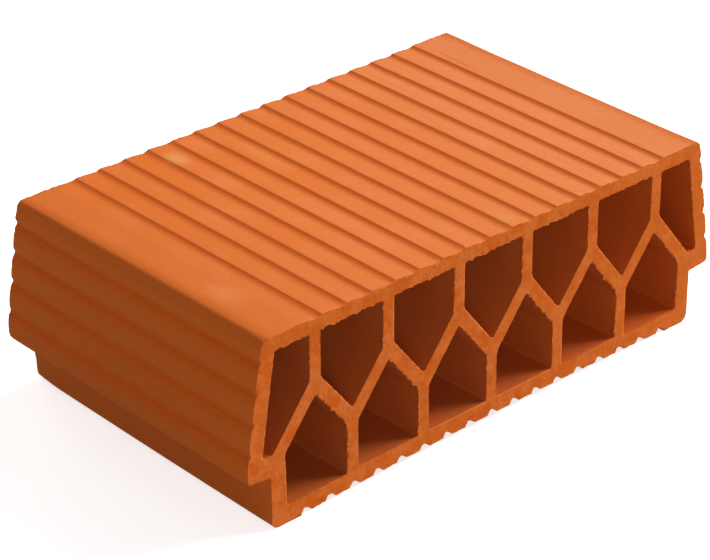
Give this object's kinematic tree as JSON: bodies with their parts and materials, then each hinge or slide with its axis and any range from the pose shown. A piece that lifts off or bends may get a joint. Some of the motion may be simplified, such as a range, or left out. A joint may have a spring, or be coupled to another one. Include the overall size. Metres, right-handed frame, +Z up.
{
  "type": "hollow clay ceiling block",
  "caption": "Extruded fired-clay block with two rows of through cells, grooved faces and side ledges that rest on floor joists.",
  "frame": {"origin": "middle of the underside's bounding rectangle, level with the two outer foot strips that the block stands on", "axes": "+X across the block from ledge to ledge, +Y along the cells, +Z up towards the grooved top face"},
  "size_m": [0.4298, 0.25, 0.142],
  "materials": {
    "fired_clay": "matte, unglazed, finely sanded by the die"
  },
  "bodies": {
    "root": {"brick": "fired_clay"}
  },
  "joints": []
}
